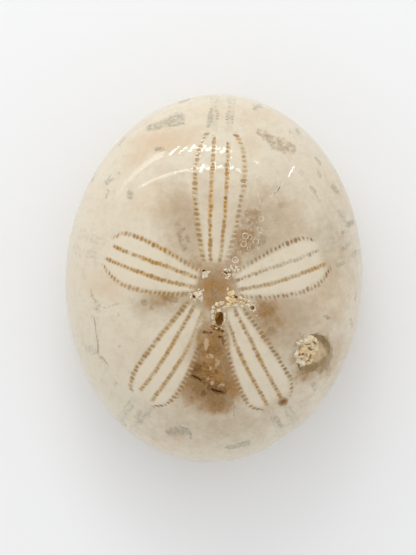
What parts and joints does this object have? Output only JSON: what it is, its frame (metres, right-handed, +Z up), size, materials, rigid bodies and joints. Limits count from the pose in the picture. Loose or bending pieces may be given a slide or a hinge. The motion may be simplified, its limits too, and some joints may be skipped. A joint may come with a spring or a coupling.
{
  "type": "fossil sand dollar",
  "caption": "Polished fossil sand dollar: a domed oval stone with a flat base, a star of petal-shaped pore rows on top, an open pit with crust and small crumbly patches.",
  "frame": {"origin": "on the table, under the middle of the oval outline", "axes": "+Y towards the front petal, along the long side; +X to the right seen from above; +Z up out of the dome"},
  "size_m": [0.0468, 0.058, 0.0272],
  "materials": {
    "polished_fossil": "polished"
  },
  "bodies": {
    "root": {"sand_dollar": "polished_fossil"}
  },
  "joints": []
}
